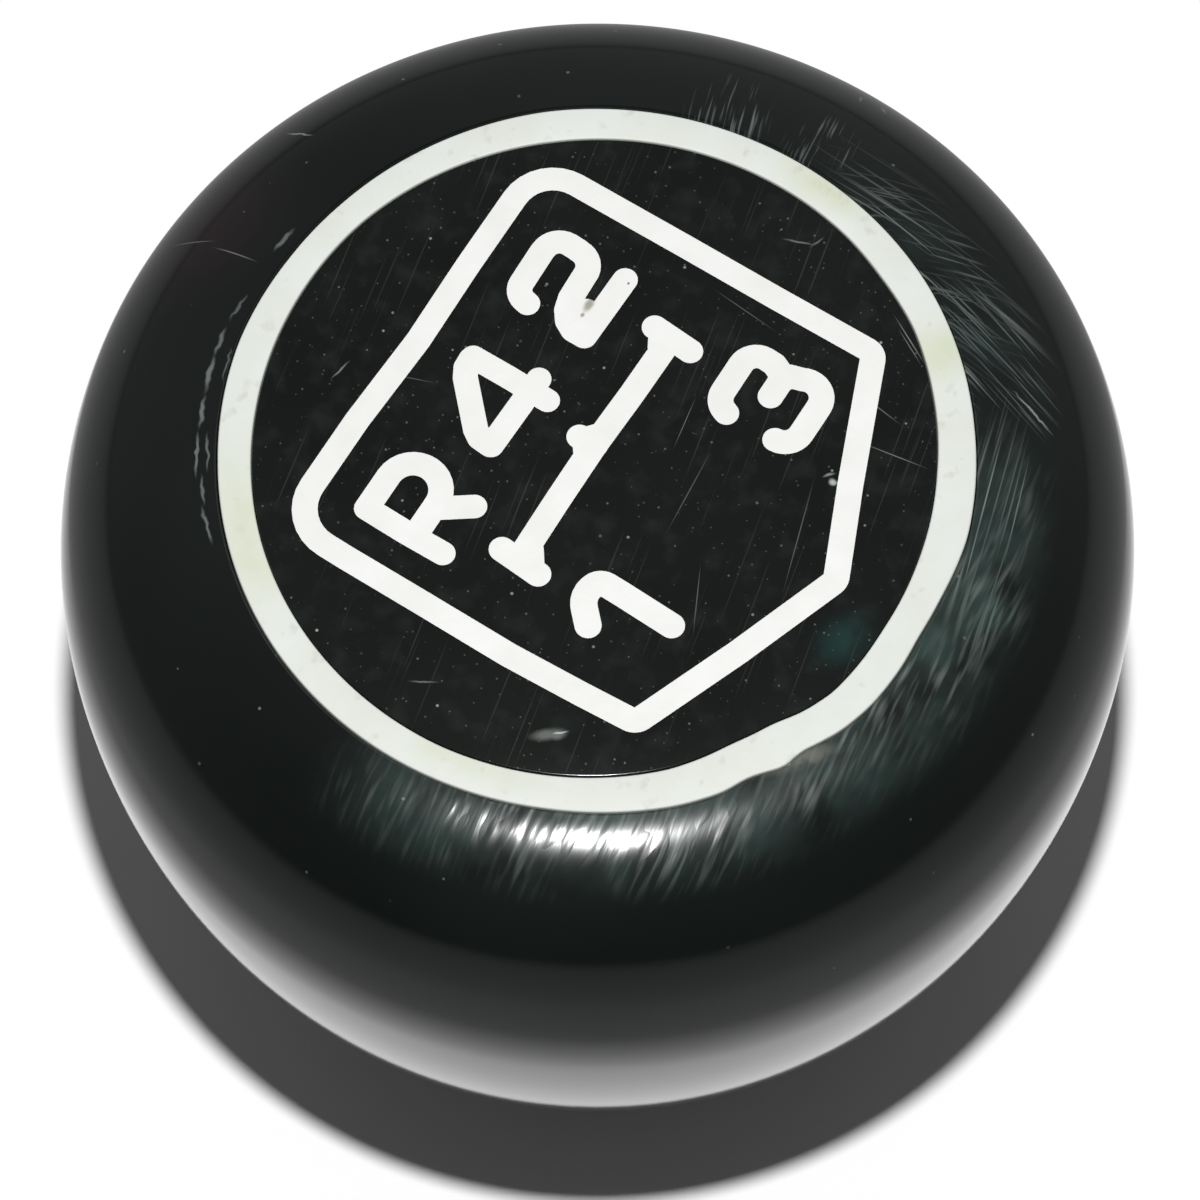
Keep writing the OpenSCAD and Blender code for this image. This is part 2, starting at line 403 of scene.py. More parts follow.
def cleared_volume(name, passes):
    """The volume that the cutter clears: it reaches as far above the face as it cuts into it."""
    radius = CUTTER_R + WIDER.get(name, 0)
    depth = 2 * GROOVE_DEPTH
    volume = None
    for path in passes:
        for ends in zip(path[:-1], path[1:]):
            bpy.ops.object.select_all(action="DESELECT")
            bpy.ops.mesh.primitive_cylinder_add(vertices=CUTTER_SIDES, radius=radius * MM, depth=depth * MM)
            move = bpy.context.object
            bpy.ops.object.mode_set(mode="EDIT")
            bpy.ops.transform.translate(value=cutter_place(ends[0]))
            bpy.ops.mesh.select_all(action="DESELECT")
            bpy.ops.mesh.primitive_cylinder_add(vertices=CUTTER_SIDES, radius=radius * MM, depth=depth * MM)
            bpy.ops.transform.translate(value=cutter_place(ends[1]))
            bpy.ops.mesh.select_all(action="SELECT")
            bpy.ops.mesh.convex_hull()
            bpy.ops.object.mode_set(mode="OBJECT")
            if volume is None:
                volume = move
            else:
                boolean(volume, move, "UNION")
                bpy.data.objects.remove(move)
    volume.name = name + "_enamel"
    volume.data.name = volume.name
    return volume


# %% Engrave the disc and fill the marks
ENAMEL_SUNK = 0.015
fills = {}


def wipe_level(angles, radii, heights):
    """Nothing of the enamel stands above its level."""
    return radii, np.minimum(heights, face_z - ENAMEL_SUNK)


for name, passes in MARKS.items():
    fill = cleared_volume(name, passes)
    boolean(engraved_disc, fill, "DIFFERENCE")
    reshape(fill, wipe_level)
    bpy.ops.object.select_all(action="DESELECT")
    bpy.context.view_layer.objects.active = fill
    fill.select_set(True)
    bpy.ops.object.mode_set(mode="EDIT")
    fills[name] = finish_mesh(fill, sharp=40)
bpy.ops.object.select_all(action="DESELECT")
bpy.context.view_layer.objects.active = engraved_disc
engraved_disc.select_set(True)
bpy.ops.object.mode_set(mode="EDIT")
finish_mesh(engraved_disc)

# %% [markdown]
# ## Brass insert
# The insert is a length of hexagonal brass bar with a turned waist, round which the plastic is moulded, so
# that it can neither turn nor pull out. It is turned first, and a six-sided bar then trims it to its flats.
# The bore ends in the cone that a drill leaves. The thread is a ridge: a small triangle that the Screw
# modifier winds up the bore, one turn each 1.5 mm.
# %% Insert
INSERT_WAIST_R = 6.2
INSERT_WAIST_LENGTH = 5.0
BORE_R = 5.0
CREST_R = 4.19
THREAD_PITCH = 1.5
THREAD_DEPTH = 16.0
MOUTH_CHAMFER = 0.9
BAR_CHAMFER = 0.3
DRILL_HALF_ANGLE = 59
# Brass that is left over the tip of the drill
LEAST_COVER = 0.5
INSERT_STEPS = 96

corner_r = (insert_high.x - insert_low.x) / 2
flat_r = (insert_high.y - insert_low.y) / 2
middle_z = (insert_low.z + insert_high.z) / 2
bore_end_z = insert_low.z + THREAD_DEPTH
drill_tip_z = bore_end_z + BORE_R / tan(radians(DRILL_HALF_ANGLE))
bar_length = 3 * insert_high.z

blank = Outline("brass_insert", 0, min(drill_tip_z, insert_high.z - LEAST_COVER))
blank.line(BORE_R, bore_end_z)
blank.line(BORE_R, insert_low.z + MOUTH_CHAMFER / 2)
blank.line(BORE_R + MOUTH_CHAMFER / 2, insert_low.z)
blank.line(corner_r - BAR_CHAMFER, insert_low.z)
blank.line(corner_r, insert_low.z + BAR_CHAMFER / 2)
blank.line(corner_r, middle_z - INSERT_WAIST_LENGTH / 2)
blank.line(INSERT_WAIST_R, middle_z - INSERT_WAIST_LENGTH / 2)
blank.line(INSERT_WAIST_R, middle_z + INSERT_WAIST_LENGTH / 2)
blank.line(corner_r, middle_z + INSERT_WAIST_LENGTH / 2)
blank.line(corner_r, insert_high.z)
blank.line(0, insert_high.z)
brass_insert = blank.turn(INSERT_STEPS)

bpy.ops.object.select_all(action="DESELECT")
bpy.ops.mesh.primitive_cylinder_add(vertices=6, radius=flat_r / cos(pi / 6) * MM, depth=bar_length * MM,
                                    location=(0, 0, 0), rotation=(0, 0, pi / 6))
bar = bpy.context.object
bpy.ops.object.transform_apply(location=True, rotation=True, scale=True)
boolean(brass_insert, bar, "INTERSECT")
bpy.data.objects.remove(bar)
print("insert", [round(v / MM, 2) for v in brass_insert.dimensions])

# %% Thread
THREAD_TURNS = 9
THREAD_STEPS = 48
RIDGE_SUNK = 0.06
CREST_WORN = 0.02
root_r = BORE_R + RIDGE_SUNK
worn_crest_r = CREST_R + CREST_WORN
ridge_z = insert_low.z + MOUTH_CHAMFER
ridge = Outline("thread_ridge", root_r, ridge_z)
# Each corner of the ridge: its share of the pitch, and its radius
for share, radius in [(0.44, worn_crest_r), (0.54, worn_crest_r), (0.96, root_r), (0, root_r)]:
    ridge.line(radius, ridge_z + THREAD_PITCH * share)
bpy.ops.mesh.select_all(action="SELECT")
bpy.ops.mesh.remove_doubles(threshold=DOUBLES * MM)
bpy.ops.object.mode_set(mode="OBJECT")
thread_ridge = ridge.piece
wind = thread_ridge.modifiers.new("wind", "SCREW")
wind.axis = "Z"
wind.steps = THREAD_STEPS
wind.render_steps = THREAD_STEPS
wind.iterations = THREAD_TURNS
wind.screw_offset = THREAD_PITCH * MM
bpy.ops.object.modifier_apply(modifier="wind")
bpy.ops.object.mode_set(mode="EDIT")
finish_mesh(thread_ridge, sharp=25)
thread_end_z = max(v.co.z for v in thread_ridge.data.vertices) / MM
print("thread up to", round(thread_end_z, 2), "in a bore up to", round(bore_end_z, 2), "mm")

# %% [markdown]
# ## Finishes
# Colours are written as sRGB hex values, as a colour picker gives them, and one function makes them linear.
# Another adds a node with its settings and links, so that each material reads as a list of its steps.
# %% Colours and nodes
def linear(colour):
    """A linear colour from an sRGB hex value."""
    parts = [int(colour[i:i + 2], 16) / 255 for i in (0, 2, 4)]
    return [p / 12.92 if p <= 0.04045 else ((p + 0.055) / 1.055) ** 2.4 for p in parts] + [1]


def add(tree, kind, inputs=None, out=0, **settings):
    """A node with its settings and links: an input is a value or another node's output. Gives one output."""
    node = tree.nodes.new("ShaderNode" + kind)
    for name, value in settings.items():
        setattr(node, name, value)
    for socket, value in (inputs or {}).items():
        if isinstance(value, bpy.types.NodeSocket):
            tree.links.new(value, node.inputs[socket])
        else:
            node.inputs[socket].default_value = value
    return node.outputs[out] if node.outputs else None


def new_material(name):
    """An empty Principled material: its tree, its shader and the place on the piece in millimetres."""
    material = bpy.data.materials.new(name)
    material.use_nodes = True
    tree = material.node_tree
    tree.nodes.clear()
    surface = add(tree, "BsdfPrincipled")
    add(tree, "OutputMaterial", {"Surface": surface})
    place = add(tree, "TexCoord", out="Object")
    in_mm = add(tree, "VectorMath", {0: place, "Scale": 1 / MM}, operation="SCALE")
    return material, tree, surface.node, in_mm


# Some nodes repeat the names of their sockets, so those are called by number. Map Range takes value 0 from
# the range 1 to 2 to the range 3 to 4, and a Mix of colours lays colour 7 over colour 6 by factor 0
TIMES = {"operation": "MULTIPLY"}
GREATEST = {"operation": "MAXIMUM"}
PLUS = {"operation": "ADD"}
OVER = {"data_type": "RGBA", "out": 2}

# %% [markdown]
# ## Tools for wear
# Wear is a matter of place and direction. A patch is an oval spot with a soft edge, so a long thin patch is
# also one scratch. A grain is noise that is drawn out along one direction, and only its peaks are kept, so
# that it gives many fine strokes side by side. Both are laid out on the knob in millimetres, seen from
# above, and reach only a few millimetres down, so that the flank stays clean.
# %% Patches, grains and clouds
WEAR_DEPTH = 7.0
# Noise at a scale of 1 has clouds of about this size
CLOUD_SIZE = 0.5
# The share of a speck's radius that has its full strength
SPECK_CORE = 0.6


def patch(tree, place, x, y, turn, half_length, half_width, core=0.0, strength=1.0):
    """Full strength inside an oval round (x, y), falling to 0 at its edge; turn is its length's direction."""
    spot = add(tree, "Mapping", {
        "Vector": place,
        "Location": (x, y, top_z),
        "Rotation": (0, 0, radians(turn)),
        "Scale": (half_length, half_width, WEAR_DEPTH),
    }, vector_type="TEXTURE")
    reach = add(tree, "VectorMath", {0: spot}, out="Value", operation="LENGTH")
    return add(tree, "MapRange", {0: reach, 1: 1.0, 2: core, 4: strength}, interpolation_type="SMOOTHSTEP")


def grain(tree, place, turn, length, spacing, low, high, strength=1.0):
    """Fine strokes in the direction of turn: none where the noise is below low, full from high on."""
    drawn = add(tree, "Mapping", {
        "Vector": place,
        "Rotation": (0, 0, radians(turn)),
        "Scale": (length, spacing, 1),
    }, vector_type="TEXTURE")
    noise = add(tree, "TexNoise", {"Vector": drawn, "Scale": 1.0, "Detail": 1.0}, noise_dimensions="2D")
    return add(tree, "MapRange", {0: noise, 1: low, 2: high, 4: strength})


def cloudy(tree, place, size, low=0.3, high=0.7, strength=1.0):
    """Soft clouds of about a size in millimetres."""
    noise = add(tree, "TexNoise", {"Vector": place, "Scale": CLOUD_SIZE / size, "Detail": 2.0})
    return add(tree, "MapRange", {0: noise, 1: low, 2: high, 4: strength})


def shifted(tree, place, size, amount):
    """The place moved about by noise, so that lines sway or edges turn ragged."""
    scale = CLOUD_SIZE / size
    noise = add(tree, "TexNoise", {"Vector": place, "Scale": scale, "Detail": 1.0}, out="Color")
    way = add(tree, "VectorMath", {0: noise, 1: (0.5, 0.5, 0.5)}, operation="SUBTRACT")
    way = add(tree, "VectorMath", {0: way, "Scale": amount}, operation="SCALE")
    return add(tree, "VectorMath", {0: place, 1: way}, operation="ADD")


def specks(tree, place, spacing, size, strength):
    """Dust: a round speck in each cell of a spacing; size is its radius as a share of the spacing."""
    near = add(tree, "TexVoronoi", {"Vector": place, "Scale": 1 / spacing}, out="Distance")
    kind = add(tree, "SeparateColor", {0: near.node.outputs["Color"]})
    dust = add(tree, "MapRange", {0: near, 1: size, 2: size * SPECK_CORE, 4: strength})
    return add(tree, "Math", {0: dust, 1: kind}, **TIMES)


# %% [markdown]
# ## Glossy black plastic
# The body was moulded in black phenolic plastic and polished. It is nearly black with a green-grey cast, and
# it is a smooth dielectric, so it mirrors the table along its rim. Where the hand and its rings rub, along
# the shoulder on one side, fine slanting scratches break the mirror: they smear the lamp sideways into a
# ragged streak and look grey by themselves. The scratches are 0.02 to 0.05 mm wide on the real knob, and
# are drawn about 0.1 mm wide, because finer ones wouldn't show.
# %% Scratch fields on the shoulder
# Middle x and y, direction of the strokes, their length and spacing, the field's half sizes and its turn,
# the noise levels between which a stroke shows, and the strength
FIELDS = [
    (15.8, -8.4, -94, 8.0, 0.15, 9.5, 3.0, -111, 0.60, 0.82, 0.43),
    (16.2, -7.5, -70, 4.0, 0.15, 7.5, 2.6, -111, 0.62, 0.84, 0.35),
    (13.4, -12.6, -105, 5.0, 0.13, 5.0, 2.8, -120, 0.58, 0.80, 0.5),
    (6.0, -16.6, 15, 9.0, 0.20, 7.5, 2.4, 25, 0.57, 0.77, 0.42),
    (17.4, 3.8, 20, 2.6, 0.15, 2.8, 2.2, 0, 0.58, 0.82, 0.45),
    (18.2, -0.6, 12, 2.0, 0.14, 1.8, 2.4, -95, 0.58, 0.82, 0.4),
]
# Single scratches and chips: middle x and y, direction, half length, half width, strength
SCRATCHES = [
    (-0.40, 19.1, -86, 1.35, 0.045, 0.5), (-0.50, 21.5, -72, 1.4, 0.04, 0.45),
    (6.66, 20.4, -80, 0.9, 0.08, 0.8), (-7.75, 15.95, 25, 0.95, 0.15, 0.5),
    (-6.05, 16.68, 20, 1.05, 0.17, 0.5), (-4.5, 17.15, 16, 0.9, 0.14, 0.4),
    (-9.6, 15.0, 31, 1.3, 0.10, 0.5), (-9.25, 14.65, 34, 1.1, 0.09, 0.4),
    (-12.2, 12.7, 47, 1.1, 0.11, 0.45), (-10.9, 13.8, 40, 0.9, 0.09, 0.4),
    (-2.7, 17.4, 3, 0.9, 0.1, 0.3), (1.2, 17.5, -9, 0.8, 0.15, 0.4),
    (-5.3, 16.25, 19, 1.0, 0.07, 0.3), (15.1, -7.9, -104, 2.2, 0.05, 0.5),
    (14.6, -10.4, -104, 2.6, 0.05, 0.5), (13.6, -12.6, -105, 2.4, 0.05, 0.5),
    (12.15, -15.4, -105, 1.5, 0.08, 0.8), (16.6, -5.8, -100, 2.6, 0.045, 0.5),
    (6.6, -16.0, 17, 4.6, 0.05, 0.6), (4.5, -15.9, 14, 3.6, 0.045, 0.6),
    (7.6, -17.2, 18, 3.0, 0.045, 0.45), (22.5, -1.5, 40, 0.45, 0.12, 0.5),
    (22.3, -0.4, 25, 0.4, 0.1, 0.4), (-8.1, -14.75, -35, 0.3, 0.14, 1.0),
]
# Lines thinner than this are straight, and wider marks are ragged
FINE_LINE = 0.06
print(len(FIELDS), "fields of strokes and", len(SCRATCHES), "single scratches")

# %% The worn band
# Degrees either side of its middle, millimetres from the ring and millimetres below the top
BAND_MIDDLE = -120.0
BAND_FULL, BAND_END = 44.0, 70.0
BAND_NEAR, BAND_FAR = 1.6, 4.2
BAND_HIGH, BAND_LOW = 3.0, 5.0
STROKE_TURN = 7.0

plastic, tree, shader, in_mm = new_material("polished_black_phenolic")
shader.inputs["IOR"].default_value = 1.5
swayed = shifted(tree, in_mm, 6.0, 1.0)
ragged = shifted(tree, in_mm, 0.25, 0.3)

# The worn band runs round the front of the ring: by direction, by distance from the middle and by height
flat = add(tree, "VectorMath", {0: in_mm, 1: (1, 1, 0)}, **TIMES)
radius = add(tree, "VectorMath", {0: flat}, out="Value", operation="LENGTH")
outwards = add(tree, "VectorMath", {0: flat}, operation="NORMALIZE")
middle = (cos(radians(BAND_MIDDLE)), sin(radians(BAND_MIDDLE)), 0)
facing = add(tree, "VectorMath", {0: outwards, 1: middle}, out="Value", operation="DOT_PRODUCT")
band = add(tree, "MapRange", {0: facing, 1: cos(radians(BAND_END)), 2: cos(radians(BAND_FULL))},
           interpolation_type="SMOOTHSTEP")
near_ring = add(tree, "MapRange", {0: radius, 1: ring_r + BAND_FAR, 2: ring_r + BAND_NEAR},
                interpolation_type="SMOOTHSTEP")
height = add(tree, "SeparateXYZ", {0: in_mm}, out=2)
upper = add(tree, "MapRange", {0: height, 1: top_z - BAND_LOW, 2: top_z - BAND_HIGH})
for part in (near_ring, upper):
    band = add(tree, "Math", {0: band, 1: part}, **TIMES)
print("worn band", round(ring_r, 1), "to", round(ring_r + BAND_FAR, 1), "mm from the middle")

# %% Scratches in the black plastic
strokes = grain(tree, swayed, STROKE_TURN, length=2.4, spacing=0.26, low=0.48, high=0.78)
fine_strokes = add(tree, "Math", {0: band, 1: strokes}, **TIMES)
marks = add(tree, "Math", {0: fine_strokes, 1: cloudy(tree, in_mm, 2.0, 0.35, 0.65, 0.5)}, **TIMES)
for x, y, turn, length, spacing, half_length, half_width, field_turn, low, high, strength in FIELDS:
    field = patch(tree, in_mm, x, y, field_turn, half_length, half_width, core=0.45)
    strokes = grain(tree, swayed, turn, length, spacing, low, high, strength)
    strokes = add(tree, "Math", {0: field, 1: strokes}, **TIMES)
    marks = add(tree, "Math", {0: marks, 1: strokes}, **GREATEST)
for x, y, turn, half_length, half_width, strength in SCRATCHES:
    place = in_mm if half_width < FINE_LINE else ragged
    single = patch(tree, place, x, y, turn, half_length, half_width, core=0.3, strength=strength)
    marks = add(tree, "Math", {0: marks, 1: single}, **GREATEST)
dust = specks(tree, in_mm, spacing=2.0, size=0.05, strength=0.5)
marks = add(tree, "Math", {0: marks, 1: dust}, **GREATEST)
print("scratches", len(tree.nodes), "nodes")

# %% Colour of the black plastic
base = add(tree, "Mix", {0: cloudy(tree, in_mm, 9.0), 6: linear("0f1312"), 7: linear("191d1c")}, **OVER)
warm = patch(tree, in_mm, x=0.5, y=21.0, turn=0, half_length=6.0, half_width=4.0)
base = add(tree, "Mix", {0: warm, 6: base, 7: linear("221b1d")}, **OVER)
# The worn band and the scuffed field on the right turn green-grey: partly a scuffed film, and partly a
# painted glow round the lamp's streak
scuff_and_glow = add(tree, "Math", {0: band, 1: cloudy(tree, swayed, 1.2, 0.3, 0.7, 0.6)}, **TIMES)
scuffed = patch(tree, in_mm, x=15.6, y=-8.6, turn=-112, half_length=9.5, half_width=3.2)
scuffed = add(tree, "Math", {0: scuffed, 1: cloudy(tree, in_mm, 1.5, 0.35, 0.7, 0.2)}, **TIMES)
scuff_and_glow = add(tree, "Math", {0: scuff_and_glow, 1: scuffed}, **GREATEST)
base = add(tree, "Mix", {0: scuff_and_glow, 6: base, 7: linear("405550")}, **OVER)
# Where the ring's edge has its kink, the gap was filled and smoothed over
filled = patch(tree, ragged, x=-7.7, y=-15.0, turn=-43, half_length=2.4, half_width=0.7, core=0.3)
filled = add(tree, "Math", {0: filled, 1: cloudy(tree, in_mm, 0.6, 0.3, 0.5, 0.8)}, **TIMES)
base = add(tree, "Mix", {0: filled, 6: base, 7: linear("6e6e66")}, **OVER)
greenish = patch(tree, in_mm, x=9.0, y=-14.0, turn=-25, half_length=14.0, half_width=10.0)
greenish = add(tree, "Math", {0: greenish, 1: cloudy(tree, in_mm, 1.4, 0.45, 0.6)}, **TIMES)
worn = add(tree, "Mix", {0: greenish, 6: linear("8f9894"), 7: linear("4a6c6a")}, **OVER)
base = add(tree, "Mix", {0: marks, 6: base, 7: worn}, **OVER)
tree.links.new(base, shader.inputs["Base Color"])
print("with the colour", len(tree.nodes), "nodes")

# %% Gloss and relief of the black plastic
# The depth of the wide strokes in millimetres, and the fine ones' share of it
SCORE_DEPTH = 0.012
FINE_SHARE = 0.14
# The band is dull by itself, by this share of a full scratch
BAND_DULL = 0.28
# Roughness of the polished plastic, and of a full scratch
POLISHED, SCRATCHED = 0.10, 0.42
dull = add(tree, "Math", {0: band, 1: BAND_DULL}, **TIMES)
dull = add(tree, "Math", {0: marks, 1: dull}, **GREATEST)
gloss = add(tree, "MapRange", {0: dull, 3: POLISHED, 4: SCRATCHED})
tree.links.new(gloss, shader.inputs["Roughness"])
strokes = grain(tree, swayed, STROKE_TURN, length=2.6, spacing=0.8, low=0.40, high=0.66)
wide_strokes = add(tree, "Math", {0: band, 1: strokes}, **TIMES)
fine_relief = add(tree, "Math", {0: fine_strokes, 1: FINE_SHARE}, **TIMES)
relief = add(tree, "Math", {0: wide_strokes, 1: fine_relief}, **PLUS)
normal = add(tree, "Bump", {"Strength": 1.0, "Distance": SCORE_DEPTH * MM, "Height": relief})
tree.links.new(normal, shader.inputs["Normal"])
print("black plastic", len(tree.nodes), "nodes")

# %% [markdown]
# ## White ring plastic
# The ring was cut from white plastic sheet, which yellows unevenly with the years. It isn't polished, so it
# has hardly any gloss, and a little dirt has settled in it as small grey-brown spots.
# %% Ring plastic
# Patches where it has yellowed most: middle x and y, direction, half length and half width
YELLOWED = [
    (12.3, -10.3, -42, 8.0, 2.4), (-11.5, 11.3, 45, 6.5, 2.2), (16.5, -1.8, -95, 4.0, 1.5),
    (-15.2, -3.2, -80, 5.0, 1.4),
]

ring_plastic, tree, shader, in_mm = new_material("yellowed_white_abs")
shader.inputs["IOR"].default_value = 1.53
aged = cloudy(tree, in_mm, 1.5, 0.35, 0.7)
base = add(tree, "Mix", {0: aged, 6: linear("e2e6e1"), 7: linear("dce0d8")}, **OVER)
for x, y, turn, half_length, half_width in YELLOWED:
    yellow = patch(tree, in_mm, x, y, turn, half_length, half_width)
    yellow = add(tree, "Math", {0: yellow, 1: cloudy(tree, in_mm, 1.2, 0.25, 0.7, 0.9)}, **TIMES)
    base = add(tree, "Mix", {0: yellow, 6: base, 7: linear("d2d8be")}, **OVER)
grime = cloudy(tree, in_mm, 0.4, 0.62, 0.75, 0.35)
base = add(tree, "Mix", {0: grime, 6: base, 7: linear("b9b8a8")}, **OVER)
tree.links.new(base, shader.inputs["Base Color"])
shader.inputs["Roughness"].default_value = 0.55
fine = add(tree, "TexNoise", {"Vector": in_mm, "Scale": 2.5, "Detail": 3.0})
normal = add(tree, "Bump", {"Strength": 0.6, "Distance": 0.01 * MM, "Height": fine})
tree.links.new(normal, shader.inputs["Normal"])
print("ring plastic", len(tree.nodes), "nodes,", len(YELLOWED), "yellowed patches")

# %% [markdown]
# ## Dusty disc plastic
# The disc is black too, but a softer plastic, flat and a little duller. Dust lies on it as pale specks, and
# wiping has left a thin film, fine straight scratches in a few directions, a smear and a greenish bloom.
# %% Marks on the disc
# Smears, chips and scratches: middle x and y, direction, half length, half width, strength
DISC_MARKS = [
    (-12.45, -5.31, -50, 1.05, 0.36, 0.28), (-12.25, -5.6, -50, 0.62, 0.36, 0.3),
    (-12.1, -5.68, -52, 0.48, 0.08, 1.0), (4.26, -9.67, -70, 0.26, 0.22, 1.0),
    (4.45, -9.35, -40, 0.35, 0.1, 0.5), (13.5, -2.3, -70, 0.9, 0.07, 0.35),
    (13.9, -3.0, -20, 0.5, 0.07, 0.3), (-2.8, 11.8, -10, 0.75, 0.06, 0.4),
    (6.8, -11.3, -81, 1.9, 0.035, 0.4), (-3.7, -7.5, 26, 2.0, 0.035, 0.25),
    (1.3, -9.7, 17, 3.3, 0.035, 0.25), (8.4, -9.6, -98, 1.4, 0.04, 0.3),
    (12.0, -9.0, -119, 1.6, 0.035, 0.5), (11.7, -9.2, -119, 1.2, 0.03, 0.4),
    (-13.3, 0.6, -60, 0.8, 0.06, 0.3), (3.2, -2.6, 10, 1.6, 0.03, 0.3),
    (9.3, -2.0, -95, 2.0, 0.03, 0.25), (0.5, -4.5, 5, 2.6, 0.03, 0.25),
    (-1.5, 9.0, -70, 1.5, 0.035, 0.2), (10.9, 2.5, -100, 2.0, 0.03, 0.3),
]
# Dust in three sizes: spacing, radius as a share of the spacing, strength
DUST = [(1.25, 0.065, 0.7), (0.62, 0.10, 0.28), (0.4, 0.12, 0.18)]
# Roughness of the clean disc, and of a full mark
DISC_CLEAN, DISC_MARKED = 0.13, 0.5
print(len(DISC_MARKS), "single marks and", len(DUST), "sizes of dust")

# %% Disc plastic
disc_plastic, tree, shader, in_mm = new_material("dusty_black_abs")
shader.inputs["IOR"].default_value = 1.53
ragged = shifted(tree, in_mm, 0.25, 0.12)
marks = grain(tree, in_mm, turn=12, length=9.0, spacing=0.12, low=0.72, high=0.80, strength=0.05)
for x, y, turn, half_length, half_width, strength in DISC_MARKS:
    place = in_mm if half_width < FINE_LINE else ragged
    single = patch(tree, place, x, y, turn, half_length, half_width, core=0.2, strength=strength)
    marks = add(tree, "Math", {0: marks, 1: single}, **GREATEST)
for spacing, size, strength in DUST:
    dust = specks(tree, in_mm, spacing, size, strength)
    marks = add(tree, "Math", {0: marks, 1: dust}, **GREATEST)
base = add(tree, "Mix", {0: cloudy(tree, in_mm, 4.0), 6: linear("0b0f0d"), 7: linear("121613")}, **OVER)
film = cloudy(tree, in_mm, 0.6, 0.5, 0.75, 0.3)
base = add(tree, "Mix", {0: film, 6: base, 7: linear("2c3231")}, **OVER)
bloom = patch(tree, in_mm, x=-1.8, y=-13.95, turn=-20, half_length=2.3, half_width=1.5)
bloom = add(tree, "Math", {0: bloom, 1: cloudy(tree, in_mm, 0.7, 0.25, 0.6, 0.55)}, **TIMES)
base = add(tree, "Mix", {0: bloom, 6: base, 7: linear("204441")}, **OVER)
base = add(tree, "Mix", {0: marks, 6: base, 7: linear("a9b0aa")}, **OVER)
tree.links.new(base, shader.inputs["Base Color"])
gloss = add(tree, "MapRange", {0: marks, 3: DISC_CLEAN, 4: DISC_MARKED})
tree.links.new(gloss, shader.inputs["Roughness"])
print("disc plastic", len(tree.nodes), "nodes")

# %% [markdown]
# ## White enamel
# The engraving is filled with white enamel, wiped flush. It has a soft gloss and sinks a little as it dries.
# In the inner corner of the 2 it has taken up dirt.
# %% Enamel
# Dirt: middle x and y, direction, half length, half width, colour, strength
DIRT = [
    (5.82, 4.09, 4, 0.62, 0.26, "8d8678", 0.8), (5.22, 4.07, 0, 0.17, 0.13, "5f5a50", 0.7),
    (7.64, 3.16, 0, 0.1, 0.1, "4a453d", 0.9),
]

enamel_white, tree, shader, in_mm = new_material("white_enamel")
shader.inputs["IOR"].default_value = 1.5
ragged = shifted(tree, in_mm, 0.2, 0.15)
base = add(tree, "Mix", {0: cloudy(tree, in_mm, 1.0), 6: linear("f2f2f0"), 7: linear("ebebe8")}, **OVER)
for x, y, turn, half_length, half_width, colour, strength in DIRT:
    dirt = patch(tree, ragged, x, y, turn, half_length, half_width, core=0.2, strength=strength)
    base = add(tree, "Mix", {0: dirt, 6: base, 7: linear(colour)}, **OVER)
tree.links.new(base, shader.inputs["Base Color"])
shader.inputs["Roughness"].default_value = 0.45
ripple = add(tree, "TexNoise", {"Vector": in_mm, "Scale": 1.6, "Detail": 2.0})
normal = add(tree, "Bump", {"Strength": 0.6, "Distance": 0.03 * MM, "Height": ripple})
tree.links.new(normal, shader.inputs["Normal"])
print("enamel", len(tree.nodes), "nodes,", len(DIRT), "spots of dirt")

# %% [markdown]
# ## Brass
# The insert is free-cutting brass, turned on a lathe and dulled by years in the air: a warm metal with fine
# rings from the tool, and brown where it has tarnished. A real tool leaves a ring every 0.1 mm. They are
# drawn 0.25 mm apart, because closer ones wouldn't show.
# %% Brass
TOOL_FEED = 0.25
# A Wave node at a scale of 1 repeats after this distance
WAVE_LENGTH = pi / 10
# Roughness of the bright metal, and of the tarnished metal
BRIGHT, TARNISHED = 0.28, 0.5

brass, tree, shader, in_mm = new_material("turned_brass")
shader.inputs["Metallic"].default_value = 1.0
tarnish = cloudy(tree, in_mm, 2.5, 0.4, 0.7)
base = add(tree, "Mix", {0: tarnish, 6: linear("c9a55c"), 7: linear("9d7c48")}, **OVER)
tree.links.new(base, shader.inputs["Base Color"])
gloss = add(tree, "MapRange", {0: tarnish, 3: BRIGHT, 4: TARNISHED})
tree.links.new(gloss, shader.inputs["Roughness"])
rings = add(tree, "TexWave", {
    "Vector": in_mm,
    "Scale": WAVE_LENGTH / TOOL_FEED,
    "Distortion": 0.6,
    "Detail": 1.0,
}, out=1, wave_type="RINGS", rings_direction="Z")
normal = add(tree, "Bump", {"Strength": 0.5, "Distance": 0.01 * MM, "Height": rings})
tree.links.new(normal, shader.inputs["Normal"])
print("brass", len(tree.nodes), "nodes")

# %% [markdown]
# ## Put the pieces on the frame
# The knob has no moving part, so every piece rides on its one body. Each takes its finish, and stands for the
# solid that has its shape. The figures, the letter and the thread stand for none, because the solids leave
# them out.
# %% Ride, replace and give each piece its finish
NODE_OF_FILL = {"border": "border_inlay", "gate": "gate_inlay"}
PIECES = [
    (black_body, plastic, "black_plastic", "knob_body"),
    (pale_ring, ring_plastic, "ring_plastic", "trim_ring"),
    (engraved_disc, disc_plastic, "disc_plastic", "pattern_disc"),
    (brass_insert, brass, "brass", "threaded_insert"),
    (thread_ridge, brass, "brass", None),
]
for name, fill in fills.items():
    PIECES.append((fill, enamel_white, "white_fill", NODE_OF_FILL.get(name)))
for piece, material, slot, node in PIECES:
    piece.data.materials.clear()
    piece.data.materials.append(material)
    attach(piece, "root")
    if node:
        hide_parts(node)
print(len(PIECES), "pieces,", sum(len(piece.data.polygons) for piece, *rest in PIECES), "faces")

